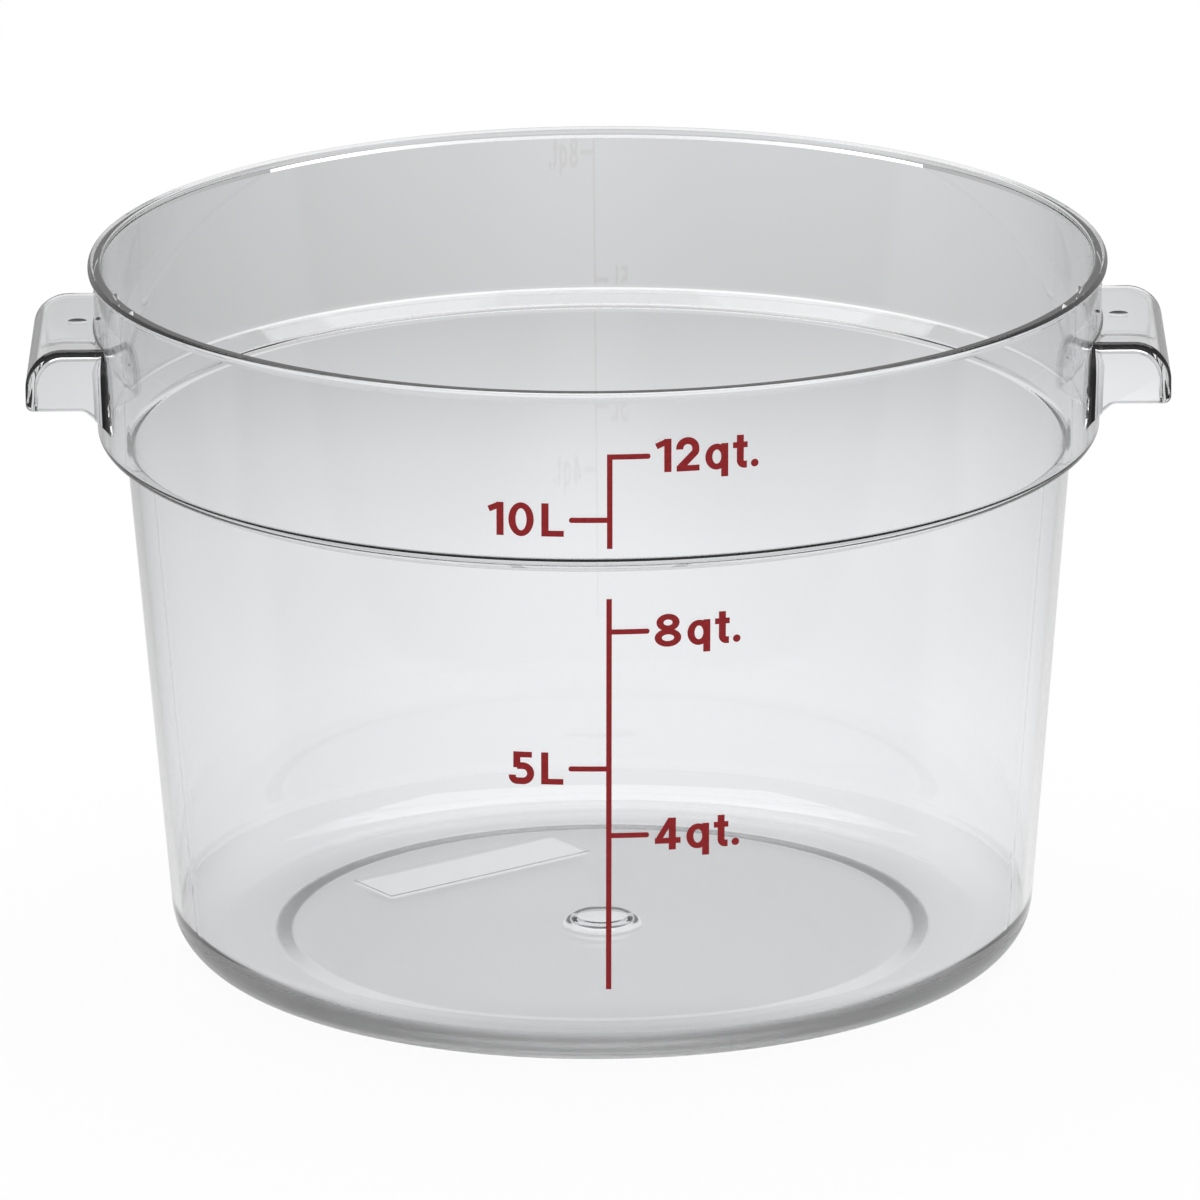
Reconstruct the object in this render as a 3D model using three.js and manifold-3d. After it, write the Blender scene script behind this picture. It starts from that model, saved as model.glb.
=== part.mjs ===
// Round clear food storage tub with two hooded handles and a printed volume scale.
// Millimetres, +Z up. The origin is the centre of the foot, on the surface it stands on.
// The handles lie along X, and the printed scale faces -Y.

import * as THREE from 'three';
import { mergeVertices } from 'three/addons/utils/BufferGeometryUtils.js';
import Module from 'manifold-3d';

const wasm = await Module();
wasm.setup();

// Driving dimensions of the tub
const RIM_RADIUS = 152.6; // outside of the rim bead
const HEIGHT = 214.5; // foot to the top of the rim
const WALL = 2.5;
const FLOOR = 3.6; // thickness of the floor
const UPPER_SECTION = 53; // top of the rim down to the shoulder
const UPPER_DRAFT = 0.8; // degrees, upper wall
const LOWER_DRAFT = 4.58; // degrees, lower wall
const SHOULDER_STEP = 8.5; // how far the shoulder steps in to the lower wall
const SHOULDER_DROP = 5; // fall of the shoulder's underside across that step
const SHOULDER_RADIUS = 8; // outside round of the shoulder
const CREASE_RADIUS = 0.8; // outside crease where the shoulder meets the lower wall
const HEEL_RADIUS = 16.5; // outside round between the wall and the foot
const FOOT_WIDTH = 15; // flat ring that the tub stands on
const FOOT_RECESS = 2; // underside inside the foot ring is this much higher
const BEAD_HEIGHT = 3.4;
const BEAD_OVERHANG = 1.5;
const BEAD_RADIUS = 1.2;
const RIM_INNER_RADIUS = 0.9;
const GATE_RADIUS = 11.4; // foot of the round boss over the moulding gate
const GATE_TOP_RADIUS = 8.6; // its flat top, before rounding
const GATE_ROUND = 3;
const GATE_RISE = 1.8;

// Driving dimensions of the handles
const HANDLE_DROP = 19.4; // top of the rim down to the flat top of a handle
const HANDLE_DEPTH = 18.2; // flat top down to the lip
const HANDLE_REACH = 17.9; // beyond the outside of the rim
const HANDLE_LENGTH = 69;
const HANDLE_SHELL = 2.6; // top plate and lip
const HANDLE_WEB = 2.6; // end walls
const HANDLE_ROLL_RADIUS = 11; // top plate rolling over into the lip
const LIP_RADIUS = 2.4; // outside round of the lip's lower edge
const ELBOW_REACH = 0.4; // beyond the rim, where the end walls turn down to the tub
const ELBOW_RUN = 12; // how far towards the axis that turn down runs
const ELBOW_SLOPE = 40; // degrees, steepness of that turn down
const ROOT_RADIUS = 9; // flare of the end walls into the tub
const ROOT_SPREAD = 10; // how far along the tub the flare is drawn, past its own reach
const CORNER_RADIUS = 1.6; // upright outer corners
const DIMPLE_RADIUS = 3.2; // ejector mark in the flat top
const DIMPLE_DEPTH = 0.6;
const DIMPLE_REACH = 3.4; // beyond the outside of the rim

// Driving dimensions of the printed scale
const SCALE_AZIMUTH = 1; // degrees, the print's offset from the -Y side
const LINE_WIDTH = 1.6;
const TICK_LENGTH = 11;
const SCALE_FOOT_GAP = 26.6; // foot to the start of the scale
const SHOULDER_GAP_BELOW = 7.2; // unprinted wall under the shoulder
const SHOULDER_GAP_ABOVE = 5.7; // unprinted wall over the shoulder
const TOP_MARK_DROP = 19.5; // top of the rim down to the top mark
const TOP_QUARTS = 12;
const QUART_STEP = 4;
const LITRE_STEP = 5;
const QUARTS_IN_LITRE = 1.0567;
const INK_THICKNESS = 0.15;

// Clearances between pieces
const HANDLE_SEAT = 0.3;
const INK_SEAT = 0.1;

// Facets
const TURN_SEGMENTS = 72;
const ARC_STEP = 20; // degrees, at most, in one facet of a rounded corner
const DIMPLE_SEGMENTS = 48;
const SIDE_SHARE = 0.98; // most of a side that the arcs at its two ends may use
const MERGE_DISTANCE = 1e-4; // points nearer than this become one
const CUT_MARGIN = 5; // how far a cutting solid runs past what it cuts

const radians = THREE.MathUtils.degToRad;
const clear = { color: 0xdfe3e6, roughness: 0.08, metalness: 0, transparent: true, opacity: 0.35 };
const clearPlastic = new THREE.MeshStandardMaterial(clear);
const redInk = new THREE.MeshStandardMaterial({ color: 0x962a2d, roughness: 0.55, metalness: 0 });

// Outline from corners [x, y, radius]. Each corner with a radius becomes an arc, and two
// arcs that would run into each other on one side share that side between them.
function rounded(corners, closed) {
  const count = corners.length;
  const points = corners.map(([x, y]) => new THREE.Vector2(x, y));
  const at = (i) => points[(i + count) % count];
  const inner = (i) => closed || (i > 0 && i < count - 1);
  const bends = points.map((point, i) => {
    if (!inner(i)) return null;
    const back = at(i - 1).clone().sub(point).normalize();
    const ahead = at(i + 1).clone().sub(point).normalize();
    const turn = Math.PI - Math.acos(THREE.MathUtils.clamp(back.dot(ahead), -1, 1));
    return { back, ahead, turn, length: (corners[i][2] ?? 0) * Math.tan(turn / 2) };
  });
  const share = (i, j) => {
    const wanted = (bends[i]?.length ?? 0) + (bends[j]?.length ?? 0);
    return wanted > 0 ? Math.min(1, (SIDE_SHARE * points[i].distanceTo(points[j])) / wanted) : 1;
  };
  const outline = [];
  points.forEach((point, i) => {
    const bend = bends[i];
    if (!bend || bend.length === 0) {
      outline.push(point);
      return;
    }
    const last = (i - 1 + count) % count;
    const length = bend.length * Math.min(share(last, i), share(i, (i + 1) % count));
    const radius = length / Math.tan(bend.turn / 2);
    const middle = bend.back.clone().add(bend.ahead).normalize();
    const centre = point.clone().addScaledVector(middle, radius / Math.cos(bend.turn / 2));
    const start = point.clone().addScaledVector(bend.back, length).sub(centre);
    const side = Math.sign(bend.ahead.cross(bend.back));
    const steps = Math.max(1, Math.ceil(bend.turn / radians(ARC_STEP)));
    for (let k = 0; k <= steps; k += 1) {
      const angle = (side * bend.turn * k) / steps;
      outline.push(start.clone().rotateAround(new THREE.Vector2(), angle).add(centre));
    }
  });
  return outline;
}

function turned(outline) {
  return new THREE.LatheGeometry(outline, TURN_SEGMENTS).rotateX(Math.PI / 2);
}

// Closed geometry as a solid that can be joined and cut
function solid(geometry) {
  const plain = geometry.clone();
  plain.deleteAttribute('normal');
  plain.deleteAttribute('uv');
  const merged = mergeVertices(plain, MERGE_DISTANCE);
  const index = merged.index.array;
  const triangles = [];
  for (let i = 0; i < index.length; i += 3) {
    const [a, b, c] = index.subarray(i, i + 3);
    if (a !== b && b !== c && c !== a) triangles.push(a, b, c);
  }
  const vertProperties = new Float32Array(merged.attributes.position.array);
  const triVerts = new Uint32Array(triangles);
  return new wasm.Manifold(new wasm.Mesh({ numProp: 3, vertProperties, triVerts }));
}

function geometryOf(manifold) {
  const { vertProperties, triVerts } = manifold.getMesh();
  const geometry = new THREE.BufferGeometry();
  geometry.setAttribute('position', new THREE.BufferAttribute(vertProperties, 3));
  geometry.setIndex(new THREE.BufferAttribute(triVerts, 1));
  geometry.computeVertexNormals();
  return geometry;
}

// Outline in the XZ plane, given length along Y, centred
function extrudedAlongY(outline, length) {
  return extrudedAlongZ(outline, -length / 2, length / 2).rotateX(Math.PI / 2);
}

function extrudedAlongZ(outline, low, high) {
  const settings = { depth: high - low, bevelEnabled: false };
  return new THREE.ExtrudeGeometry(new THREE.Shape(outline), settings).translate(0, 0, low);
}

// The tub's walls: outside radius at a height
const shoulderTop = HEIGHT - UPPER_SECTION;
const shoulderBottom = shoulderTop - SHOULDER_DROP;
const upperOuter = (z) => RIM_RADIUS - BEAD_OVERHANG - (HEIGHT - z) * Math.tan(radians(UPPER_DRAFT));
const lowerTopRadius = upperOuter(shoulderTop) - SHOULDER_STEP;
const lowerOuter = (z) => lowerTopRadius - (shoulderBottom - z) * Math.tan(radians(LOWER_DRAFT));
const baseRadius = lowerOuter(0);
const floorTop = FOOT_RECESS + FLOOR;
const beadBottom = HEIGHT - BEAD_HEIGHT;
const heelFoot = baseRadius - HEEL_RADIUS * Math.tan(radians(90 - LOWER_DRAFT) / 2);
const footInner = heelFoot - FOOT_WIDTH;
const shoulderSlope = Math.atan2(SHOULDER_DROP, SHOULDER_STEP);
const ledgeLift = (WALL * (1 - Math.sin(shoulderSlope))) / Math.cos(shoulderSlope);

// Outside of the tub from the heel up to under the rim bead
const outerCorners = [
  [baseRadius, 0, HEEL_RADIUS],
  [lowerTopRadius, shoulderBottom, CREASE_RADIUS],
  [upperOuter(shoulderTop), shoulderTop, SHOULDER_RADIUS],
];

// Inside of the tub from the rim down to the heel, one wall inside the outside
const ledgeTop = shoulderTop + ledgeLift;
const ledgeBottom = shoulderBottom + ledgeLift;
const innerCorners = [
  [upperOuter(HEIGHT) - WALL, HEIGHT, RIM_INNER_RADIUS],
  [upperOuter(ledgeTop) - WALL, ledgeTop, SHOULDER_RADIUS - WALL],
  [lowerOuter(ledgeBottom) - WALL, ledgeBottom, CREASE_RADIUS + WALL],
  [lowerOuter(floorTop) - WALL, floorTop, HEEL_RADIUS - FLOOR],
];

// Boss over the gate from the axis outwards, as corners above a level
function gateCorners(base) {
  return [
    [0, base + GATE_RISE],
    [GATE_TOP_RADIUS, base + GATE_RISE, GATE_ROUND],
    [GATE_RADIUS, base],
  ];
}

function tubGeometry() {
  const corners = [
    ...gateCorners(FOOT_RECESS),
    [footInner - FOOT_RECESS, FOOT_RECESS],
    [footInner, 0],
    ...outerCorners,
    [upperOuter(beadBottom), beadBottom],
    [RIM_RADIUS, beadBottom + BEAD_OVERHANG, BEAD_OVERHANG / 2],
    [RIM_RADIUS, HEIGHT, BEAD_RADIUS],
    ...innerCorners,
    ...gateCorners(floorTop).reverse(),
  ];
  return turned(rounded(corners, false));
}

// Solid of the tub's outside, grown by the handles' seat, that the handles are cut to
function tubEnvelope() {
  const grown = outerCorners.map(([r, z, radius]) => [r + HANDLE_SEAT, z, radius]);
  const top = HEIGHT + CUT_MARGIN;
  const corners = [[0, 0], ...grown, [upperOuter(top) + HANDLE_SEAT, top], [0, top]];
  return solid(turned(rounded(corners, false)));
}

// Handle on the +X side: a rolled-over top plate and two end walls, open underneath
function handleSolid(envelope) {
  const top = HEIGHT - HANDLE_DROP;
  const lip = top - HANDLE_DEPTH;
  const tip = RIM_RADIUS + HANDLE_REACH;
  const elbow = RIM_RADIUS + ELBOW_REACH;
  const inside = lowerTopRadius - ELBOW_RUN;
  const heel = lip - ELBOW_RUN * Math.tan(radians(ELBOW_SLOPE));
  const half = HANDLE_LENGTH / 2;
  const spread = half + ROOT_SPREAD;
  const section = rounded(
    [
      [inside, top],
      [inside, heel],
      [elbow - ELBOW_RUN, heel],
      [elbow, lip],
      [tip, lip, LIP_RADIUS],
      [tip, top, HANDLE_ROLL_RADIUS],
    ],
    true,
  );
  const wallAtEnd = Math.sqrt(upperOuter(lip) ** 2 - half ** 2);
  const wallAtFlare = Math.sqrt(upperOuter(lip) ** 2 - spread ** 2);
  const plan = rounded(
    [
      [inside, -spread],
      [wallAtFlare, -spread],
      [wallAtEnd, -half, ROOT_RADIUS],
      [tip, -half, CORNER_RADIUS],
      [tip, half, CORNER_RADIUS],
      [wallAtEnd, half, ROOT_RADIUS],
      [wallAtFlare, spread],
      [inside, spread],
    ],
    true,
  );
  const pocket = rounded(
    [
      [inside - CUT_MARGIN, top - HANDLE_SHELL],
      [inside - CUT_MARGIN, heel - CUT_MARGIN],
      [tip - HANDLE_SHELL, heel - CUT_MARGIN],
      [tip - HANDLE_SHELL, top - HANDLE_SHELL, HANDLE_ROLL_RADIUS - HANDLE_SHELL],
    ],
    true,
  );
  const dimpleSphere = (DIMPLE_RADIUS ** 2 + DIMPLE_DEPTH ** 2) / (2 * DIMPLE_DEPTH);
  const dimple = new THREE.SphereGeometry(dimpleSphere, DIMPLE_SEGMENTS, DIMPLE_SEGMENTS * 2)
    .rotateX(Math.PI / 2)
    .translate(RIM_RADIUS + DIMPLE_REACH, 0, top - DIMPLE_DEPTH + dimpleSphere);
  return solid(extrudedAlongY(section, 2 * spread))
    .intersect(solid(extrudedAlongZ(plan, heel - CUT_MARGIN, top + CUT_MARGIN)))
    .subtract(solid(extrudedAlongY(pocket, HANDLE_LENGTH - 2 * HANDLE_WEB)))
    .subtract(solid(dimple))
    .subtract(envelope);
}

// Inside of the tub from the floor up, and the truncated cones between its points
const innerOutline = rounded([...innerCorners, [0, floorTop]], false).reverse();
const slices = innerOutline.slice(1).map(({ x, y }, i) => {
  const { x: radius, y: low } = innerOutline[i];
  return { radius, low, high: y, taper: y > low ? (x - radius) / (y - low) : 0 };
});

function coneVolume({ radius, taper }, depth) {
  const top = radius + taper * depth;
  return ((Math.PI * depth) / 3) * (radius * radius + radius * top + top * top);
}

function coneDepth({ radius, taper }, volume) {
  if (taper === 0) return volume / (Math.PI * radius ** 2);
  return (Math.cbrt(radius ** 3 + (3 * taper * volume) / Math.PI) - radius) / taper;
}

function volumeBelow(z) {
  const depth = ({ low, high }) => Math.max(0, Math.min(high, z) - low);
  return slices.reduce((sum, slice) => sum + coneVolume(slice, depth(slice)), 0);
}

function fillHeight(volume) {
  const slice = slices.find(({ low, high }) => high > low && volumeBelow(high) >= volume);
  return slice.low + coneDepth(slice, volume - volumeBelow(slice.low));
}

// Ink film on the outside of the wall between two heights and two distances along X
function inkFilm(low, high, left, right) {
  const middle = (low + high) / 2;
  const wallRadius = middle > shoulderBottom ? upperOuter : lowerOuter;
  const back = (z) => wallRadius(z) + INK_SEAT;
  const front = (z) => back(z) + INK_THICKNESS;
  const outline = [
    [back(low), low],
    [front(low), low],
    [front(high), high],
    [back(high), high],
    [back(low), low],
  ].map(([r, z]) => new THREE.Vector2(r, z));
  const strip = new THREE.BoxGeometry(right - left, RIM_RADIUS, 2 * HEIGHT)
    .translate((left + right) / 2, -RIM_RADIUS / 2 - CUT_MARGIN, 0);
  return solid(turned(outline)).intersect(solid(strip));
}

const model = new THREE.Group();
const scale = new THREE.Group();
scale.rotation.z = radians(SCALE_AZIMUTH);
model.add(scale);

function place(group, name, geometry, material) {
  const mesh = new THREE.Mesh(geometry, material);
  mesh.name = name;
  group.add(mesh);
  return mesh;
}

place(model, 'tub', tubGeometry(), clearPlastic);

const handle = geometryOf(handleSolid(tubEnvelope()));
place(model, 'handle_right', handle, clearPlastic);
place(model, 'handle_left', handle, clearPlastic).rotation.z = Math.PI;

// Marks every few quarts to the right of the line and every few litres to the left. The top
// mark is set from the rim, and the others stand where their share of its volume comes to.
const topMark = HEIGHT - TOP_MARK_DROP;
const quart = volumeBelow(topMark) / TOP_QUARTS;
const halfLine = LINE_WIDTH / 2;
const marks = [];
for (let n = QUART_STEP; n <= TOP_QUARTS; n += QUART_STEP) {
  const z = n === TOP_QUARTS ? topMark : fillHeight(n * quart);
  marks.push({ name: `tick_${n}_quart`, z, left: halfLine });
}
for (let n = LITRE_STEP; n * QUARTS_IN_LITRE <= TOP_QUARTS; n += LITRE_STEP) {
  const z = fillHeight(n * QUARTS_IN_LITRE * quart);
  marks.push({ name: `tick_${n}_litre`, z, left: -halfLine - TICK_LENGTH });
}
marks.forEach(({ name, z, left }) => {
  const film = inkFilm(z - halfLine, z + halfLine, left, left + TICK_LENGTH);
  place(scale, name, geometryOf(film), redInk);
});

const lowerLine = [SCALE_FOOT_GAP, shoulderBottom - SHOULDER_GAP_BELOW];
const upperLine = [shoulderTop + SHOULDER_GAP_ABOVE, topMark + halfLine];
place(scale, 'scale_line_lower', geometryOf(inkFilm(...lowerLine, -halfLine, halfLine)), redInk);
place(scale, 'scale_line_upper', geometryOf(inkFilm(...upperLine, -halfLine, halfLine)), redInk);

export default model;
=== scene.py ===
# Round clear food storage tub with two hooded handles and a printed volume scale.
# Metres, +Z up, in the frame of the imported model. The printed scale faces -Y.

import math

import bmesh
import bpy
from mathutils import Matrix, Vector


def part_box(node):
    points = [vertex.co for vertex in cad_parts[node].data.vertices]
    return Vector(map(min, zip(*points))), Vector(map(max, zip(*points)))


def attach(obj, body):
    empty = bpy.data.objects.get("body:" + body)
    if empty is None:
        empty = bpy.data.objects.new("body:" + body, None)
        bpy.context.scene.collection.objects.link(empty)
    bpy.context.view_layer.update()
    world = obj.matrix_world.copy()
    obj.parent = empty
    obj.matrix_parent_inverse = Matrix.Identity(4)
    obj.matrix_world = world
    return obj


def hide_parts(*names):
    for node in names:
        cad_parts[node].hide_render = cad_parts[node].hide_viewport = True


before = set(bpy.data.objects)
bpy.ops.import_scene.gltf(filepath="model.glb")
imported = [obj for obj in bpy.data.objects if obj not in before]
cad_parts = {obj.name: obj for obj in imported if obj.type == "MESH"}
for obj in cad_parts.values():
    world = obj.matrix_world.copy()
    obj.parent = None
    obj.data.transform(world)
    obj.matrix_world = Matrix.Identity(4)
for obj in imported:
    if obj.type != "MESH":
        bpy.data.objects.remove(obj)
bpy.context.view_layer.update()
MM = 0.001

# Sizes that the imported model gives
tub_low, tub_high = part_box("tub")
handle_low, handle_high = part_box("handle_right")
RIM_RADIUS = tub_high.x
HEIGHT = tub_high.z
HANDLE_TIP = handle_high.x
HANDLE_TOP = handle_high.z

# Tub, as moulded
WALL = 2.5 * MM
FLOOR = 3.6 * MM
UPPER_SECTION = 52.3 * MM
UPPER_DRAFT = math.radians(0.8)
LOWER_DRAFT = math.radians(4.58)
SHOULDER_STEP = 8.4 * MM
SHOULDER_DROP = 4 * MM
SHOULDER_RADIUS = 3.2 * MM
CREASE_RADIUS = 0.8 * MM
LEDGE_INNER_RADIUS = 0.8 * MM  # inside, wall to ledge
LEDGE_EDGE_RADIUS = 3 * MM  # inside, ledge to lower wall
HEEL_RADIUS = 16.5 * MM
FOOT_WIDTH = 15 * MM
FOOT_RECESS = 2 * MM
RECESS_RUN = 5 * MM  # how gently the underside rises from the foot ring
RECESS_RADIUS = 4 * MM
BEAD_HEIGHT = 3.4 * MM
BEAD_OVERHANG = 1.5 * MM
BEAD_RADIUS = 1.2 * MM
RIM_INNER_RADIUS = 0.9 * MM
GATE_RADIUS = 11.4 * MM
GATE_TOP_RADIUS = 8.6 * MM
GATE_ROUND = 3 * MM
GATE_RISE = 1.8 * MM
PANEL_LENGTH = 75 * MM  # bare raised panel on the floor inside
PANEL_WIDTH = 20 * MM
PANEL_RISE = 0.15 * MM
PANEL_PLACE = (-40 * MM, 54.7 * MM)
PANEL_TURN = math.radians(36)
WITNESS_ANGLE = math.radians(21)  # mould lines beside each handle
WITNESS_WIDTH = 0.5 * MM
WITNESS_RISE = 0.12 * MM
WITNESS_CLEARANCE = 3  # half widths beside a mould line that have no other facet

# Handles
HANDLE_LENGTH = 66 * MM  # along the top
HANDLE_DEPTH = 18.2 * MM
HANDLE_SHELL = 2.6 * MM
HANDLE_WEB = 2.6 * MM
HANDLE_ROLL_RADIUS = 11 * MM
HANDLE_EDGE_RADIUS = 1.3 * MM
END_BOW = 3.5 * MM  # how far each end bows out below the top
END_BOW_DROP = 25 * MM
LIP_RADIUS = 2.4 * MM
LEAST_LIP_RADIUS = 0.2 * MM  # what is left of it where an end is rounded over
ELBOW_REACH = 0.4 * MM
ELBOW_RUN = 12 * MM
ELBOW_SLOPE = math.radians(40)
ELBOW_RADIUS = 3 * MM
POCKET_EDGE_RADIUS = 1.2 * MM
ROOT_RADIUS = 5 * MM
ROOT_RUNOUT = 7 * MM  # depth below the top in which a root grows to its radius
LEAST_ROOT = 0.02  # share of its radius that a root starts with
TOP_ROOT_RADIUS = 0.6 * MM
LEAST_TOP_ROOT = 0.05 * MM  # what is left of it at the ends
TOP_ROOT_FULLNESS = 6  # how evenly it keeps its radius along the handle
TOP_ROOT_ENDING = 1 / 3  # how bluntly it ends
ROOT_OVERLAP = 0.8 * MM  # how far a root reaches into the tub's wall
ROOT_GRIP = 2.2 * MM  # how far a root reaches into the handle's end
DIMPLE_RADIUS = 3.2 * MM
DIMPLE_DEPTH = 0.3 * MM
DIMPLE_REACH = 3.4 * MM

# Finish
PLASTIC_COLOUR = (0.95, 0.956, 0.967, 1)
PLASTIC_IOR = 1.585
GLOSS = (0.003, 0.02)  # roughness of the polished faces, from least to most
GLOSS_SCALE = 34
GLOSS_DETAIL = 5
FROST = 0.28  # roughness of the matt underside
FROST_HEIGHTS = (3.2 * MM, 5 * MM)  # where the matt underside ends
HEEL_RISE = 1.125  # line between the heel's two sides, out by its height times this
HEEL_LINE = (115.3 * MM, 115.8 * MM)
PANEL_POLISH = 0.7  # share of the matt finish that the panel lacks
INK_DARK = (0.3, 0.018, 0.021, 1)
INK_LIGHT = (0.37, 0.024, 0.028, 1)
INK_SPAN = (0.3, 0.7)  # of the noise, from dark to light
INK_SCALE = 900
INK_DETAIL = 3
INK_ROUGHNESS = 0.5
INK_SHINE = 0.15

# Printed scale
SCALE_AZIMUTH = math.radians(1)
SCALE_LEAN = 0.0066  # the print is not quite upright
SCALE_MIDDLE = 120 * MM
INK_LIFT = 0.03 * MM
INK_THICKNESS = 0.04 * MM
INK_GRID = 0.6 * MM
LINE_WIDTH = 1.6 * MM
LINE_END_RADIUS = 0.7 * MM
LETTER_HEIGHT = 10.05 * MM
LETTER_GAP = 1.5 * MM
LETTER_STROKE = 0.21  # of the letter height
LETTER_THINNING = 0.85  # level strokes to upright ones
LETTER_STEPS = 40

# Camera at the photograph's viewing angle, for a frame of 1200 by 1200 pixels
FRAME_PIXELS = 1200
FOCAL_PIXELS = 13502.3
SENSOR = 36.0
CAMERA_DISTANCE = 3.9
CAMERA_HEIGHT = 1.27777
CAMERA_PITCH = 0.29173
CAMERA_ROLL = -0.0075
VIEW_END = 50

# Stage
FLOOR_REACH = 6  # from its middle to each side
FLOOR_COLOUR = (0.9, 0.9, 0.9, 1)
FLOOR_ROUGHNESS = 0.9
FLOOR_GAP = 0.08 * MM  # under the foot
FLOOR_GLOW = 0.93  # share of the floor's light that no shadow falls on
# Painted light on the floor as seen through the plastic: a painted pool of light around the tub and a
# painted shadow under it, as places along Y, from in front of the tub to behind it, and brightness. Set
# one by one.
PAINTED_LIGHT_SPAN = (-0.6, 1.2)
PAINTED_LIGHT_AND_SHADOW_TONES = (
    (-0.6, 0.6), (-0.16, 0.55), (-0.115, 0.58), (-0.1, 0.72), (-0.07, 0.96), (0.14, 1.0),
    (0.22, 1.0), (0.42, 0.98), (0.53, 0.87), (0.62, 0.7), (0.7, 0.61), (1.05, 0.72),
)
PAINTED_POOL_MIDDLE = 0.04  # where along X the painted pool of light on the floor is brightest
PAINTED_POOL_SIDES = (0.05, 0.4)  # from there out, where the painted pool of light fades to the sides
# share of the painted pool of light that is left at the sides
PAINTED_POOL_SIDE_SHARE = 0.55
SKY_LOW = 0.74
SKY_HIGH = 0.45
LAMP_PLACE = (0, 0.6, 2.2)
LAMP_TARGET = (0, 0.3, 0)
LAMP_SIZE = (3.0, 2.4)
LAMP_POWER = 44

# Facets
TURN_SEGMENTS = 288
ARC_STEP = math.radians(5)
ROOT_STEPS = 12
ROOT_LEVELS = 32
FILLET_LEVELS = 40
SECTION_STEPS = 14
QUARTER_STEPS = 8
DIMPLE_SEGMENTS = 96
SHARP_ANGLE = math.radians(35)
SHADING_WEIGHT = 80


# Outlines
def full_turn(count):
    return [2 * math.pi * k / count for k in range(count)]


def quarter_turn():
    return [math.pi / 2 * k / QUARTER_STEPS for k in range(QUARTER_STEPS + 1)]


def rounded(corners, closed=False, steps=None):
    """Outline through corners (x, y) or (x, y, radius), with an arc at each radius."""
    count = len(corners)
    points = [Vector(corner[:2]) for corner in corners]
    outline = []
    for i, corner in enumerate(corners):
        point = points[i]
        ends = not closed and i in (0, count - 1)
        if ends or len(corner) < 3 or corner[2] <= 0:
            outline.append(point)
            continue
        back = (points[i - 1] - point).normalized()
        ahead = (points[(i + 1) % count] - point).normalized()
        turn = math.pi - back.angle(ahead)
        centre = point + (back + ahead).normalized() * (corner[2] / math.cos(turn / 2))
        start = point + back * (corner[2] * math.tan(turn / 2)) - centre
        side = math.copysign(1, ahead.x * back.y - ahead.y * back.x)
        pieces = steps or max(2, math.ceil(turn / ARC_STEP))
        for k in range(pieces + 1):
            outline.append(centre + Matrix.Rotation(side * turn * k / pieces, 2) @ start)
    return outline


# The tub's walls
shoulder_top = HEIGHT - UPPER_SECTION
shoulder_bottom = shoulder_top - SHOULDER_DROP


def upper_outer(z):
    return RIM_RADIUS - BEAD_OVERHANG - (HEIGHT - z) * math.tan(UPPER_DRAFT)


lower_top_radius = upper_outer(shoulder_top) - SHOULDER_STEP


def lower_outer(z):
    return lower_top_radius - (shoulder_bottom - z) * math.tan(LOWER_DRAFT)


base_radius = lower_outer(0)
floor_top = FOOT_RECESS + FLOOR
bead_bottom = HEIGHT - BEAD_HEIGHT
heel_foot = base_radius - HEEL_RADIUS * math.tan((math.pi / 2 - LOWER_DRAFT) / 2)
foot_inner = heel_foot - FOOT_WIDTH
shoulder_slope = math.atan2(SHOULDER_DROP, SHOULDER_STEP)
ledge_lift = WALL * (1 - math.sin(shoulder_slope)) / math.cos(shoulder_slope)
ledge_top = shoulder_top + ledge_lift
ledge_bottom = shoulder_bottom + ledge_lift


# Mesh building
def mesh_object(name, bm):
    bmesh.ops.recalc_face_normals(bm, faces=bm.faces)
    mesh = bpy.data.meshes.new(name)
    bm.to_mesh(mesh)
    bm.free()
    obj = bpy.data.objects.new(name, mesh)
    bpy.context.scene.collection.objects.link(obj)
    return obj


def skin(bm, rows, close_rows):
    """Quads between rows of points that all have the same number of points."""
    grid = [[bm.verts.new(point) for point in row] for row in rows]
    last = len(grid) if close_rows else len(grid) - 1
    for i in range(last):
        here, there = grid[i], grid[(i + 1) % len(grid)]
        for j in range(len(here)):
            k = (j + 1) % len(here)
            bm.faces.new((here[j], here[k], there[k], there[j]))
    return grid


def lofted(name, rows):
    """Solid between closed rows of points, capped at both ends."""
    bm = bmesh.new()
    grid = skin(bm, rows, False)
    bm.faces.new(grid[0])
    bm.faces.new(grid[-1])
    return mesh_object(name, bm)


def turned(name, outline, angles, raised=None):
    """Solid of revolution of an outline that starts and ends on the axis."""
    bm = bmesh.new()
    columns = []
    for angle in angles:
        column = []
        for point in outline[1:-1]:
            radius = point.x + (raised(angle, point) if raised else 0)
            column.append((radius * math.sin(angle), -radius * math.cos(angle), point.y))
        columns.append([bm.verts.new(place) for place in column])
    bottom = bm.verts.new((0, 0, outline[0].y))
    top = bm.verts.new((0, 0, outline[-1].y))
    for i, here in enumerate(columns):
        there = columns[(i + 1) % len(columns)]
        bm.faces.new((bottom, there[0], here[0]))
        bm.faces.new((top, here[-1], there[-1]))
        for j in range(len(here) - 1):
            bm.faces.new((here[j], there[j], there[j + 1], here[j + 1]))
    return mesh_object(name, bm)


def combined(target, tool, operation):
    """Joins or cuts target with tool, and removes the tool."""
    modifier = target.modifiers.new("combined", "BOOLEAN")
    modifier.operation = operation
    modifier.solver = "EXACT"
    modifier.object = tool
    graph = bpy.context.evaluated_depsgraph_get()
    mesh = bpy.data.meshes.new_from_object(target.evaluated_get(graph))
    target.modifiers.remove(modifier)
    target.data = mesh
    bpy.data.objects.remove(tool)


# Tub
def gate_corners(base):
    """Boss over the gate from the axis outwards, above a level."""
    top = base + GATE_RISE
    return [(0, top), (GATE_TOP_RADIUS, top, GATE_ROUND), (GATE_RADIUS, base)]


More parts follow.
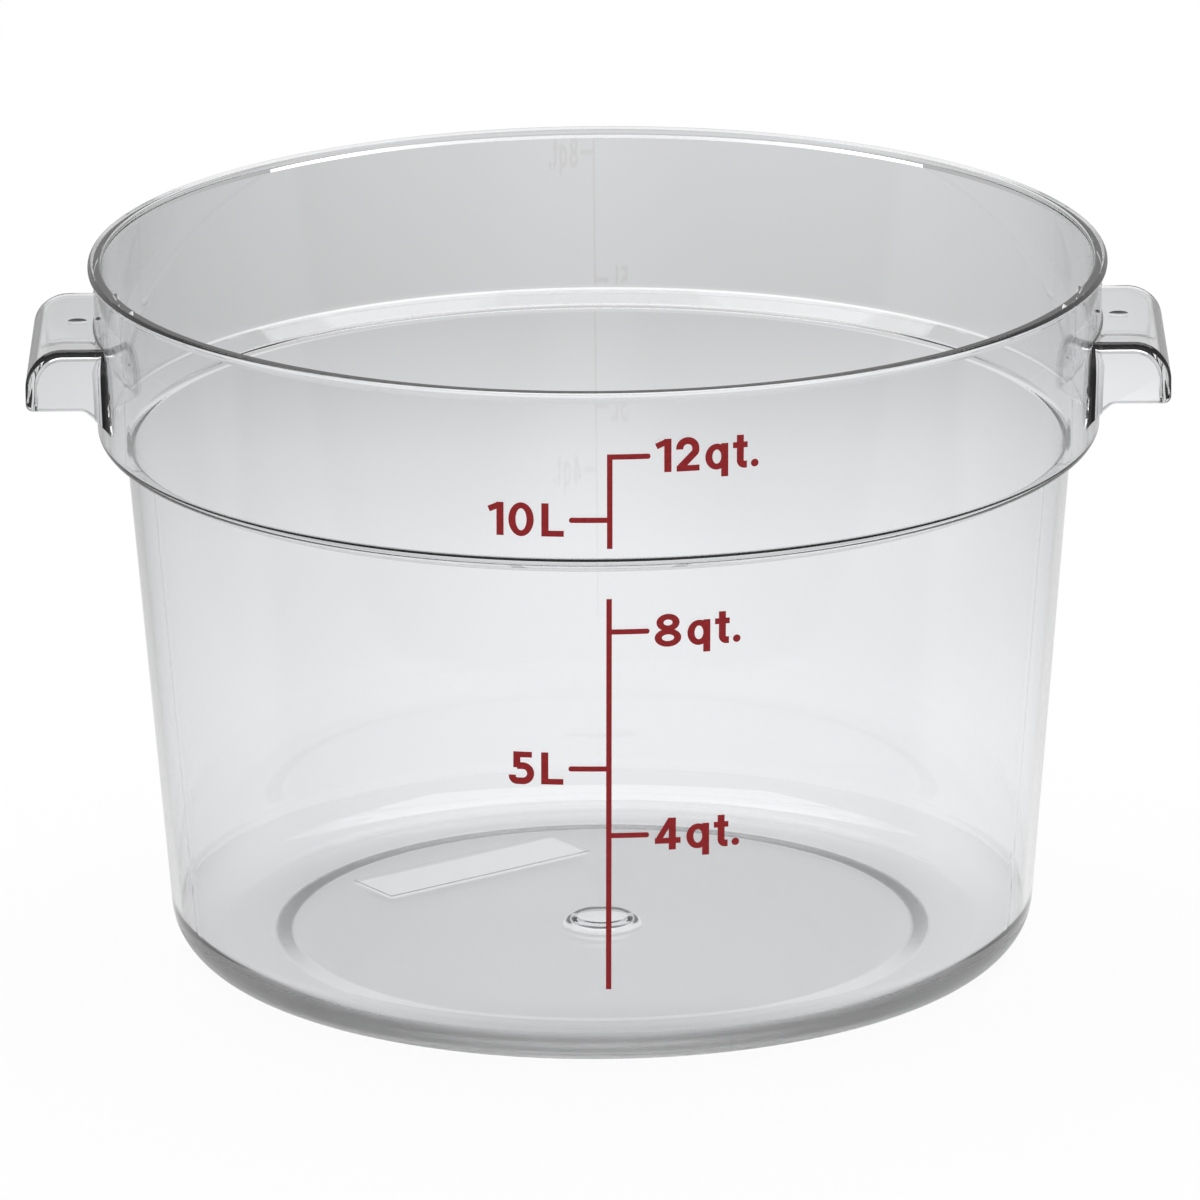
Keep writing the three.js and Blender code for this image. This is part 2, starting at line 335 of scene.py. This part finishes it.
def tub_object():
    corners = [
        *gate_corners(FOOT_RECESS),
        (foot_inner - RECESS_RUN, FOOT_RECESS, RECESS_RADIUS),
        (foot_inner, 0, RECESS_RADIUS),
        (base_radius, 0, HEEL_RADIUS),
        (lower_top_radius, shoulder_bottom, CREASE_RADIUS),
        (upper_outer(shoulder_top), shoulder_top, SHOULDER_RADIUS),
        (upper_outer(bead_bottom), bead_bottom),
        (RIM_RADIUS, bead_bottom + BEAD_OVERHANG, BEAD_OVERHANG / 2),
        (RIM_RADIUS, HEIGHT, BEAD_RADIUS),
        (upper_outer(HEIGHT) - WALL, HEIGHT, RIM_INNER_RADIUS),
        (upper_outer(ledge_top) - WALL, ledge_top, LEDGE_INNER_RADIUS),
        (lower_outer(ledge_bottom) - WALL, ledge_bottom, LEDGE_EDGE_RADIUS),
        (lower_outer(floor_top) - WALL, floor_top, HEEL_RADIUS - FLOOR),
        *reversed(gate_corners(floor_top)),
    ]
    half_width = WITNESS_WIDTH / RIM_RADIUS / 2
    lines = [
        side + turn
        for side in (math.pi / 2, 3 * math.pi / 2)
        for turn in (-WITNESS_ANGLE, WITNESS_ANGLE)
    ]
    clear = WITNESS_CLEARANCE * half_width
    angles = [a for a in full_turn(TURN_SEGMENTS) if min(abs(a - line) for line in lines) > clear]
    for line in lines:
        angles += [line - half_width, line, line + half_width]

    def raised(angle, point):
        level = shoulder_top + SHOULDER_RADIUS < point.y <= bead_bottom
        outside = point.x > upper_outer(point.y) - WALL / 2
        return WITNESS_RISE if angle in lines and level and outside else 0

    return turned("moulding", rounded(corners), sorted(angles), raised)


# Handles
handle_lip = HANDLE_TOP - HANDLE_DEPTH
handle_half = HANDLE_LENGTH / 2
handle_elbow = RIM_RADIUS + ELBOW_REACH
elbow_fall = ELBOW_RUN * math.tan(ELBOW_SLOPE)
handle_inside = handle_elbow - 2 * ELBOW_RUN
well_below = handle_lip - 2 * elbow_fall


def half_length(z):
    """Distance from the middle of a handle to its end, which bows out below the top."""
    return handle_half + END_BOW * (1 - (1 - (HANDLE_TOP - z) / END_BOW_DROP) ** 2)


def bowed(obj):
    """Spreads a solid with straight ends to the length that a handle has at each height."""
    for vert in obj.data.vertices:
        vert.co.y *= half_length(vert.co.z) / handle_half
    return obj


def handle_section(inset):
    """Outline of a handle from its end, drawn in by an inset from every edge."""
    elbow = handle_elbow - inset * math.tan(ELBOW_SLOPE / 2)
    lip = handle_lip + inset
    foot = lip - elbow_fall
    top = HANDLE_TOP - inset
    tip = HANDLE_TIP - inset
    corners = [
        (handle_inside, top),
        (handle_inside, foot),
        (elbow - ELBOW_RUN, foot),
        (elbow, lip, ELBOW_RADIUS + inset),
        (tip, lip, max(LIP_RADIUS - inset, LEAST_LIP_RADIUS)),
        (tip, top, HANDLE_ROLL_RADIUS - inset),
    ]
    return rounded(corners, closed=True, steps=SECTION_STEPS)


def pocket_section(inset):
    """Outline of the space under a handle, drawn in by an inset from every edge."""
    top = HANDLE_TOP - HANDLE_SHELL - inset
    tip = HANDLE_TIP - HANDLE_SHELL - inset
    corners = [
        (handle_inside - ELBOW_RUN, top),
        (handle_inside - ELBOW_RUN, well_below),
        (tip, well_below),
        (tip, top, HANDLE_ROLL_RADIUS - HANDLE_SHELL - inset),
    ]
    return rounded(corners, closed=True, steps=SECTION_STEPS)


def soft_ended(name, section, half, radius):
    """Solid along Y from a section, with its two ends rounded over."""
    turns = quarter_turn()
    end = [(half - radius + radius * math.sin(t), radius * (1 - math.cos(t))) for t in turns]
    stations = [(-y, inset) for y, inset in reversed(end)] + end
    rows = [[(p.x, y, p.y) for p in section(inset)] for y, inset in stations]
    return bowed(lofted(name, rows))


def root_section(z, radius):
    """Level outline of the root between the wall and the end of a handle at one height."""
    half = half_length(z)
    wall = upper_outer(z)
    centre_y = half + radius
    centre = Vector((math.sqrt((wall + radius) ** 2 - centre_y ** 2), centre_y))
    to_wall = -centre.normalized()
    turn = Vector((0, -1)).angle(to_wall)
    steps = [turn * j / ROOT_STEPS for j in range(ROOT_STEPS + 1)]
    arc = [centre + Matrix.Rotation(-t, 2) @ Vector((0, -radius)) for t in steps]
    sunk = wall - ROOT_OVERLAP
    inner = half - ROOT_GRIP
    corner = Vector((math.sqrt(sunk * sunk - inner * inner), inner))
    return [Vector((arc[0].x, inner)), *arc, arc[-1] + to_wall * ROOT_OVERLAP, corner]


def end_root(side):
    """Concave root that spreads from an end of the handle onto the tub."""
    low = handle_lip - elbow_fall
    high = HANDLE_TOP - HANDLE_EDGE_RADIUS / 2
    rows = []
    for k in range(ROOT_LEVELS + 1):
        z = high - (high - low) * k / ROOT_LEVELS
        grown = min((high - z) / ROOT_RUNOUT, 1)
        radius = ROOT_RADIUS * max(1 - (1 - grown) ** 2, LEAST_ROOT)
        rows.append([(p.x, side * p.y, z) for p in root_section(z, radius)])
    return lofted("root", rows)


def below_handle():
    """Space under the handle, that its roots are cut back to."""
    wide = 2 * handle_half
    outline = [
        (handle_inside, well_below),
        (HANDLE_TIP, well_below),
        (HANDLE_TIP, handle_lip),
        (handle_elbow, handle_lip),
        (handle_inside, handle_lip - (handle_elbow - handle_inside) * math.tan(ELBOW_SLOPE)),
    ]
    return lofted("below", [[(x, y, z) for x, z in outline] for y in (-wide, wide)])


def top_fillet():
    """Concave fillet between the tub and the flat top of the handle."""
    reach = math.asin((handle_half - HANDLE_EDGE_RADIUS) / RIM_RADIUS)
    rows = []
    for k in range(FILLET_LEVELS + 1):
        share = k / FILLET_LEVELS
        angle = reach * (2 * share - 1)
        swelling = (1 - abs(2 * share - 1) ** TOP_ROOT_FULLNESS) ** TOP_ROOT_ENDING
        radius = max(TOP_ROOT_RADIUS * swelling, LEAST_TOP_ROOT)
        wall = upper_outer(HANDLE_TOP)
        centre = Vector((wall + radius, HANDLE_TOP + radius))
        arc = [centre - Vector((math.sin(t), math.cos(t))) * radius for t in quarter_turn()]
        low = HANDLE_TOP - ROOT_OVERLAP
        back = wall - ROOT_OVERLAP
        loop = [Vector((back, low)), Vector((wall + radius, low)), *arc]
        loop.append(Vector((back, HANDLE_TOP + radius)))
        rows.append([(p.x * math.cos(angle), p.x * math.sin(angle), p.y) for p in loop])
    return lofted("fillet", rows)


def wall_core():
    """Solid inside the middle of the tub's wall, that a handle's root is cut back to."""
    low = well_below - elbow_fall
    high = HEIGHT
    depth = WALL / 2
    outline = [
        Vector((0, low)),
        Vector((upper_outer(low) - depth, low)),
        Vector((upper_outer(high) - depth, high)),
        Vector((0, high)),
    ]
    return turned("core", outline, full_turn(TURN_SEGMENTS))


def dimple():
    sphere = (DIMPLE_RADIUS ** 2 + DIMPLE_DEPTH ** 2) / (2 * DIMPLE_DEPTH)
    bm = bmesh.new()
    count = DIMPLE_SEGMENTS
    bmesh.ops.create_uvsphere(bm, u_segments=count, v_segments=count, radius=sphere)
    place = (RIM_RADIUS + DIMPLE_REACH, 0, HANDLE_TOP - DIMPLE_DEPTH + sphere)
    bmesh.ops.translate(bm, verts=bm.verts, vec=place)
    return mesh_object("dimple", bm)


def handle_object():
    """Handle on the +X side, ready to be joined to the tub."""
    handle = soft_ended("handle", handle_section, handle_half, HANDLE_EDGE_RADIUS)
    pocket_half = handle_half - HANDLE_WEB
    pocket = soft_ended("pocket", pocket_section, pocket_half, POCKET_EDGE_RADIUS)
    combined(handle, pocket, "DIFFERENCE")
    for side in (-1, 1):
        root = end_root(side)
        combined(root, below_handle(), "DIFFERENCE")
        combined(handle, root, "UNION")
    combined(handle, dimple(), "DIFFERENCE")
    combined(handle, top_fillet(), "UNION")
    combined(handle, wall_core(), "DIFFERENCE")
    return handle


def floor_panel():
    """Bare panel that stands a little proud of the floor inside."""
    long, wide = PANEL_LENGTH / 2, PANEL_WIDTH / 2
    corners = ((-long, -wide), (long, -wide), (long, wide), (-long, wide))
    turn = Matrix.Rotation(PANEL_TURN, 2)
    outline = [Vector(PANEL_PLACE) + turn @ Vector(corner) for corner in corners]
    levels = (floor_top - FLOOR / 2, floor_top + PANEL_RISE)
    return lofted("panel", [[(p.x, p.y, z) for p in outline] for z in levels])


def moulding_object():
    """Tub and handles as the one continuous moulding that they are."""
    moulding = tub_object()
    combined(moulding, floor_panel(), "UNION")
    right = handle_object()
    left = right.copy()
    left.data = right.data.copy()
    left.data.transform(Matrix.Rotation(math.pi, 4, "Z"))
    bpy.context.scene.collection.objects.link(left)
    combined(moulding, right, "UNION")
    combined(moulding, left, "UNION")
    mesh = moulding.data
    mesh.shade_smooth()
    mesh.set_sharp_from_angle(angle=SHARP_ANGLE)
    weighted = moulding.modifiers.new("even shading", "WEIGHTED_NORMAL")
    weighted.keep_sharp = True
    weighted.weight = SHADING_WEIGHT
    return moulding


# Materials
def new_material(name):
    material = bpy.data.materials.new(name)
    material.use_nodes = True
    nodes = material.node_tree.nodes
    return material, nodes, material.node_tree.links, nodes["Principled BSDF"]


def worked_out(tree, operation, first, second):
    """Output of an operation on two sockets or numbers."""
    node = tree.nodes.new("ShaderNodeMath")
    node.operation = operation
    for socket, value in zip(node.inputs, (first, second)):
        if isinstance(value, bpy.types.NodeSocket):
            tree.links.new(value, socket)
        else:
            socket.default_value = value
    return node.outputs[0]


def mapped(tree, value, span, tones):
    """Output that goes from one tone to another over a span of a value."""
    node = tree.nodes.new("ShaderNodeMapRange")
    node.interpolation_type = "SMOOTHSTEP"
    tree.links.new(value, node.inputs["Value"])
    node.inputs["From Min"].default_value = span[0]
    node.inputs["From Max"].default_value = span[1]
    node.inputs["To Min"].default_value = tones[0]
    node.inputs["To Max"].default_value = tones[1]
    return node.outputs["Result"]


def frosted_base(tree, place):
    """Roughness of the matt underside: none at the gate, and little under the panel."""
    split = tree.nodes.new("ShaderNodeSeparateXYZ")
    tree.links.new(place, split.inputs[0])
    base = mapped(tree, split.outputs["Z"], FROST_HEIGHTS, (FROST, 0))
    flat = tree.nodes.new("ShaderNodeCombineXYZ")
    tree.links.new(split.outputs["X"], flat.inputs["X"])
    tree.links.new(split.outputs["Y"], flat.inputs["Y"])
    away = tree.nodes.new("ShaderNodeVectorMath")
    away.operation = "LENGTH"
    tree.links.new(flat.outputs[0], away.inputs[0])
    radius = away.outputs["Value"]
    beyond = (GATE_RADIUS, GATE_RADIUS + MM)
    base = worked_out(tree, "MULTIPLY", base, mapped(tree, radius, beyond, (0, 1)))
    rise = worked_out(tree, "MULTIPLY", split.outputs["Z"], HEEL_RISE)
    heel = mapped(tree, worked_out(tree, "SUBTRACT", radius, rise), HEEL_LINE, (0, FROST))
    base = worked_out(tree, "MAXIMUM", base, heel)
    moved = tree.nodes.new("ShaderNodeMapping")
    moved.vector_type = "TEXTURE"
    moved.inputs["Location"].default_value = (*PANEL_PLACE, 0)
    moved.inputs["Rotation"].default_value = (0, 0, PANEL_TURN)
    tree.links.new(flat.outputs[0], moved.inputs["Vector"])
    sides = tree.nodes.new("ShaderNodeSeparateXYZ")
    tree.links.new(moved.outputs[0], sides.inputs[0])
    panel = PANEL_POLISH
    for axis, size in (("X", PANEL_LENGTH), ("Y", PANEL_WIDTH)):
        distance = worked_out(tree, "ABSOLUTE", sides.outputs[axis], 0)
        inside = worked_out(tree, "LESS_THAN", distance, size / 2)
        panel = worked_out(tree, "MULTIPLY", panel, inside)
    return worked_out(tree, "MULTIPLY", base, worked_out(tree, "SUBTRACT", 1, panel))


def clear_plastic():
    material, nodes, links, shader = new_material("clear_polycarbonate")
    tree = material.node_tree
    shader.inputs["Base Color"].default_value = PLASTIC_COLOUR
    shader.inputs["IOR"].default_value = PLASTIC_IOR
    shader.inputs["Transmission Weight"].default_value = 1.0
    place = nodes.new("ShaderNodeTexCoord").outputs["Object"]
    cloud = nodes.new("ShaderNodeTexNoise")
    cloud.inputs["Scale"].default_value = GLOSS_SCALE
    cloud.inputs["Detail"].default_value = GLOSS_DETAIL
    links.new(place, cloud.inputs["Vector"])
    gloss = mapped(tree, cloud.outputs["Fac"], (0, 1), GLOSS)
    finish = worked_out(tree, "MAXIMUM", gloss, frosted_base(tree, place))
    links.new(finish, shader.inputs["Roughness"])
    return material


def red_ink():
    material, nodes, links, shader = new_material("red_ink")
    place = nodes.new("ShaderNodeTexCoord")
    speckle = nodes.new("ShaderNodeTexNoise")
    speckle.inputs["Scale"].default_value = INK_SCALE
    speckle.inputs["Detail"].default_value = INK_DETAIL
    links.new(place.outputs["Object"], speckle.inputs["Vector"])
    tone = nodes.new("ShaderNodeValToRGB")
    for stop, position, colour in zip(tone.color_ramp.elements, INK_SPAN, (INK_DARK, INK_LIGHT)):
        stop.position = position
        stop.color = colour
    links.new(speckle.outputs["Fac"], tone.inputs["Fac"])
    links.new(tone.outputs["Color"], shader.inputs["Base Color"])
    shader.inputs["Roughness"].default_value = INK_ROUGHNESS
    shader.inputs["Specular IOR Level"].default_value = INK_SHINE
    return material


# Printed scale
def wall_radius(z):
    return upper_outer(z) if z > shoulder_bottom else lower_outer(z)


def on_wall(x, z, lift):
    """Point on the outside of the wall, x along it from the middle of the scale."""
    radius = wall_radius(z) + lift
    lean = SCALE_LEAN * (z - SCALE_MIDDLE)
    angle = SCALE_AZIMUTH + (x + lean) / wall_radius(z)
    return Vector((radius * math.sin(angle), -radius * math.cos(angle), z))


def stroke(path, width=LETTER_STROKE):
    """Closed outline of a stroke of even width along an open path."""
    left, right = [], []
    for i, point in enumerate(path):
        before = (point - path[i - 1]).normalized() if i > 0 else None
        after = (path[i + 1] - point).normalized() if i + 1 < len(path) else None
        ahead = ((before or after) + (after or before)).normalized()
        spread = width / 2 / ahead.dot(after or before)
        side = Vector((-ahead.y, ahead.x)) * spread
        left.append(point + side)
        right.append(point - side)
    return left + right[::-1]


def bar(left, low, right, high):
    return [Vector(p) for p in ((left, low), (right, low), (right, high), (left, high))]


def oval(x, y, wide, tall):
    return [Vector((x + wide * math.cos(t), y + tall * math.sin(t))) for t in full_turn(LETTER_STEPS)]


def ring(x, y, wide, tall):
    """Two outlines of an oval ring, the outer and the inner one."""
    inner = oval(x, y, wide - LETTER_STROKE, tall - LETTER_STROKE * LETTER_THINNING)
    return oval(x, y, wide, tall), inner


def glyphs():
    """Parts and advance of each sign, drawn on a capital height of 1."""
    w = LETTER_STROKE
    thin = w * LETTER_THINNING
    flag = [Vector((0.33, 0.92)), Vector((0.02, 0.78))]
    two = rounded(
        [(0.1, 0.66), (0.1, 0.915, 0.23), (0.57, 0.915, 0.23), (0.57, 0.58, 0.12), (0.12, 0.12)]
    )
    slope = [Vector((0.5, 0.97)), Vector((0.1, 0.28))]
    five = rounded(
        [(0.24, 0.56), (0.64, 0.56, 0.23), (0.64, 0.085, 0.23), (0.1, 0.085, 0.15), (0.1, 0.27)]
    )
    tail = rounded([(0.22, 0.98), (0.22, 0.085, 0.13), (0.42, 0.085)])
    return {
        "0": ([ring(0.37, 0.5, 0.37, 0.51)], 0.94),
        "1": ([bar(0.25, 0, 0.25 + w, 1), stroke(flag, thin)], 0.6),
        "2": ([stroke(two), bar(0.01, 0, 0.68, thin)], 0.85),
        "4": ([bar(0.43, 0, 0.43 + w, 1), bar(0.02, 0.2, 0.78, 0.2 + thin), stroke(slope, thin)], 0.95),
        "5": ([stroke(five), bar(0.13, 1 - thin, 0.68, 1), bar(0.13, 0.5, 0.13 + w, 1)], 0.93),
        "8": ([ring(0.39, 0.74, 0.34, 0.27), ring(0.39, 0.27, 0.39, 0.28)], 0.96),
        "q": ([ring(0.34, 0.38, 0.34, 0.39), bar(0.68 - w, -0.23, 0.68, 0.77)], 0.82),
        "t": ([stroke(tail), bar(0, 0.77 - thin, 0.44, 0.77)], 0.55),
        "L": ([bar(0.02, 0, 0.02 + w, 1), bar(0.02, 0, 0.67, thin)], 0.67),
        ".": ([oval(w / 2, w / 2, 0.55 * w, 0.55 * w)], 0.2),
    }


def placed(part, shift, scale):
    """Part of a sign, moved along its line and brought to size."""
    if isinstance(part, tuple):
        return tuple(placed(loop, shift, scale) for loop in part)
    return [Vector((p.x + shift, p.y)) * scale for p in part]


def spelled(words):
    """Parts of all signs of a label, from the left end of its base line."""
    drawn = glyphs()
    shift = 0
    parts = []
    for sign in words:
        shapes, advance = drawn[sign]
        parts += [placed(shape, shift, LETTER_HEIGHT) for shape in shapes]
        shift += advance
    return parts


def flat_film(part):
    """Flat solid of ink from an outline, or from the two outlines of a ring."""
    bm = bmesh.new()
    if isinstance(part, tuple):
        outer, inner = ([bm.verts.new((p.x, p.y, 0)) for p in loop] for loop in part)
        for i in range(len(outer)):
            k = (i + 1) % len(outer)
            bm.faces.new((outer[i], outer[k], inner[k], inner[i]))
    else:
        bm.faces.new([bm.verts.new((p.x, p.y, 0)) for p in part])
    front = bmesh.ops.extrude_face_region(bm, geom=bm.faces[:], use_keep_orig=True)
    raised = [item for item in front["geom"] if isinstance(item, bmesh.types.BMVert)]
    bmesh.ops.translate(bm, verts=raised, vec=(0, 0, INK_THICKNESS))
    return mesh_object("film", bm)


def printed_ink(name, parts, x, z):
    """Film of ink on the wall from flat parts whose origin is put at x and z."""
    ink, *others = [flat_film(part) for part in parts]
    for other in others:
        combined(ink, other, "UNION")
    ink.name = name
    bm = bmesh.new()
    bm.from_mesh(ink.data)
    bmesh.ops.triangulate(bm, faces=bm.faces)
    places = [vert.co.x for vert in bm.verts]
    cut = min(places) + INK_GRID
    while cut < max(places):
        everything = bm.verts[:] + bm.edges[:] + bm.faces[:]
        bmesh.ops.bisect_plane(bm, geom=everything, plane_co=(cut, 0, 0), plane_no=(1, 0, 0))
        cut += INK_GRID
    for vert in bm.verts:
        vert.co = on_wall(x + vert.co.x, z + vert.co.y, INK_LIFT + vert.co.z)
    bmesh.ops.recalc_face_normals(bm, faces=bm.faces)
    bm.to_mesh(ink.data)
    bm.free()
    return ink


def strip(left, low, right, high, left_radius, right_radius):
    """Outline of a line of the scale, with its own rounding at each end."""
    corners = [
        (left, low, left_radius),
        (right, low, right_radius),
        (right, high, right_radius),
        (left, high, left_radius),
    ]
    return rounded(corners, closed=True)


def printed_scale(material):
    line = LINE_WIDTH / 2
    pieces = []
    for node in ("scale_line_lower", "scale_line_upper"):
        low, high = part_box(node)
        outline = strip(-line, 0, line, high.z - low.z, 0, 0)
        pieces.append((printed_ink(f"ink_{node}", [outline], 0, low.z), node))
    marks = {
        "tick_4_quart": "4qt.",
        "tick_8_quart": "8qt.",
        "tick_12_quart": "12qt.",
        "tick_5_litre": "5L",
        "tick_10_litre": "10L",
    }
    for node, words in marks.items():
        low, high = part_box(node)
        length = high.x - low.x
        tall = high.z - low.z
        parts = spelled(words)
        base = (low.z + high.z - LETTER_HEIGHT) / 2
        if words.endswith("qt."):
            tick = strip(line, 0, line + length, tall, 0, LINE_END_RADIUS)
            start = line + length + LETTER_GAP
        else:
            tick = strip(-line - length, 0, -line, tall, LINE_END_RADIUS, 0)
            start = -line - length - LETTER_GAP - max(p.x for p in parts[-1])
        pieces.append((printed_ink(f"ink_{node}", [tick], 0, low.z), node))
        pieces.append((printed_ink(f"words_{node}", parts, start, base), None))
    for piece, node in pieces:
        piece.data.materials.append(material)
        if node:
            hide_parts(node)
        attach(piece, "root")


# Stage
def painted_floor_light(tree):
    """Painted light on the floor as seen through the plastic: a painted pool of light around the tub, a
    painted shadow under it, fading to the sides.
    """
    place = tree.nodes.new("ShaderNodeTexCoord")
    split = tree.nodes.new("ShaderNodeSeparateXYZ")
    tree.links.new(place.outputs["Object"], split.inputs[0])
    ramp = tree.nodes.new("ShaderNodeValToRGB")
    stops = ramp.color_ramp.elements
    near, far = PAINTED_LIGHT_SPAN
    for _ in PAINTED_LIGHT_AND_SHADOW_TONES[2:]:
        stops.new(0.5)
    for stop, (y, tone) in zip(stops, PAINTED_LIGHT_AND_SHADOW_TONES):
        stop.position = (y - near) / (far - near)
        stop.color = (tone, tone, tone, 1)
    ahead = worked_out(tree, "SUBTRACT", split.outputs["Y"], near)
    tree.links.new(worked_out(tree, "DIVIDE", ahead, far - near), ramp.inputs["Fac"])
    aside = worked_out(tree, "SUBTRACT", split.outputs["X"], PAINTED_POOL_MIDDLE)
    aside = worked_out(tree, "ABSOLUTE", aside, 0)
    sides = mapped(tree, aside, PAINTED_POOL_SIDES, (1, PAINTED_POOL_SIDE_SHARE))
    return worked_out(tree, "MULTIPLY", ramp.outputs["Color"], sides)


def studio_floor():
    bm = bmesh.new()
    bmesh.ops.create_grid(bm, x_segments=1, y_segments=1, size=FLOOR_REACH)
    floor = mesh_object("floor", bm)
    floor.location.z = -FLOOR_GAP
    material, nodes, links, shader = new_material("white_floor")
    tree = material.node_tree
    shader.inputs["Base Color"].default_value = FLOOR_COLOUR
    shader.inputs["Roughness"].default_value = FLOOR_ROUGHNESS
    path = nodes.new("ShaderNodeLightPath")
    direct = path.outputs["Is Camera Ray"]
    # The floor glows evenly white straight to the camera, and through the plastic with the painted pool
    # of light and painted shadow.
    glow = nodes.new("ShaderNodeEmission")
    links.new(worked_out(tree, "MAXIMUM", direct, painted_floor_light(tree)), glow.inputs["Strength"])
    bent = worked_out(tree, "MAXIMUM", path.outputs["Is Glossy Ray"], path.outputs["Is Transmission Ray"])
    share = worked_out(tree, "MULTIPLY", worked_out(tree, "MAXIMUM", direct, bent), FLOOR_GLOW)
    mix = nodes.new("ShaderNodeMixShader")
    links.new(share, mix.inputs[0])
    links.new(shader.outputs[0], mix.inputs[1])
    links.new(glow.outputs[0], mix.inputs[2])
    links.new(mix.outputs[0], nodes["Material Output"].inputs["Surface"])
    floor.data.materials.append(material)


def area_light(name, place, target, width, depth, power):
    lamp = bpy.data.lights.new(name, "AREA")
    lamp.shape = "RECTANGLE"
    lamp.size = width
    lamp.size_y = depth
    lamp.energy = power
    obj = bpy.data.objects.new(name, lamp)
    obj.location = place
    aim = Vector(target) - Vector(place)
    obj.rotation_euler = aim.to_track_quat("-Z", "Y").to_euler()
    bpy.context.scene.collection.objects.link(obj)


def studio():
    studio_floor()
    area_light("overhead", LAMP_PLACE, LAMP_TARGET, *LAMP_SIZE, LAMP_POWER)
    world = bpy.data.worlds.new("studio")
    world.use_nodes = True
    tree = world.node_tree
    place = tree.nodes.new("ShaderNodeTexCoord")
    split = tree.nodes.new("ShaderNodeSeparateXYZ")
    tree.links.new(place.outputs["Generated"], split.inputs[0])
    sky = mapped(tree, split.outputs["Z"], (0, 1), (SKY_LOW, SKY_HIGH))
    tree.links.new(sky, tree.nodes["Background"].inputs["Color"])
    bpy.context.scene.world = world


def photograph_camera():
    lens = bpy.data.cameras.new("camera")
    lens.sensor_width = SENSOR
    lens.lens = FOCAL_PIXELS / FRAME_PIXELS * SENSOR
    lens.clip_end = VIEW_END
    camera = bpy.data.objects.new("camera", lens)
    turn = Matrix.Rotation(math.pi / 2 - CAMERA_PITCH, 4, "X") @ Matrix.Rotation(CAMERA_ROLL, 4, "Z")
    camera.matrix_world = Matrix.Translation((0, -CAMERA_DISTANCE, CAMERA_HEIGHT)) @ turn
    bpy.context.scene.collection.objects.link(camera)
    bpy.context.scene.camera = camera


photograph_camera()
bpy.context.scene.view_settings.view_transform = "Standard"
studio()

moulding = moulding_object()
moulding.data.materials.clear()
moulding.data.materials.append(clear_plastic())
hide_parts("tub", "handle_left", "handle_right")
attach(moulding, "root")
printed_scale(red_ink())
